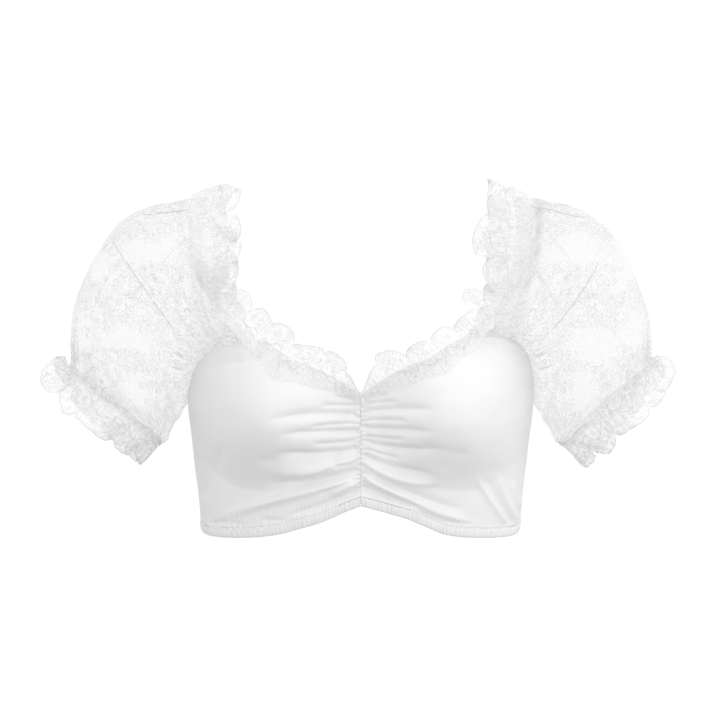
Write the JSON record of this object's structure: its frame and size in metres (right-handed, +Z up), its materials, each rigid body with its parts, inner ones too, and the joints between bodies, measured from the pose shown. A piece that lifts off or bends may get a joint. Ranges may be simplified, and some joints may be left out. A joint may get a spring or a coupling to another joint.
{
  "type": "dirndl blouse worn form",
  "caption": "Cropped dirndl blouse, hollow as when worn: ruched satin front with moulded cups, puffed lace sleeves and lace frills at the neckline and cuffs.",
  "frame": {"origin": "the point midway between the tops of the two shoulders, where the blouse hangs from its wearer", "axes": "+X towards the viewer's right when facing the front, -Y towards the viewer, +Z up"},
  "size_m": [0.5717, 0.233, 0.3124],
  "materials": {
    "satin": "white stretch satin with a soft sheen",
    "hem_casing": "the same satin, finely puckered over elastic",
    "sleeve_lace": "white sheer lace with flowers and leaves on a fine net",
    "cuff_elastic": "white lace gathered over narrow elastic",
    "frill_lace": "white gathered lace edging with a scalloped edge"
  },
  "bodies": {
    "root": {"front_left": "satin", "front_right": "satin", "back": "satin", "hem_casing_front_left": "hem_casing", "hem_casing_front_right": "hem_casing", "hem_casing_back": "hem_casing", "sleeve_left": "sleeve_lace", "sleeve_right": "sleeve_lace", "cuff_elastic_left": "cuff_elastic", "cuff_elastic_right": "cuff_elastic", "cuff_frill_left": "frill_lace", "cuff_frill_right": "frill_lace", "neck_frill_left": "frill_lace", "neck_frill_right": "frill_lace"}
  },
  "joints": []
}
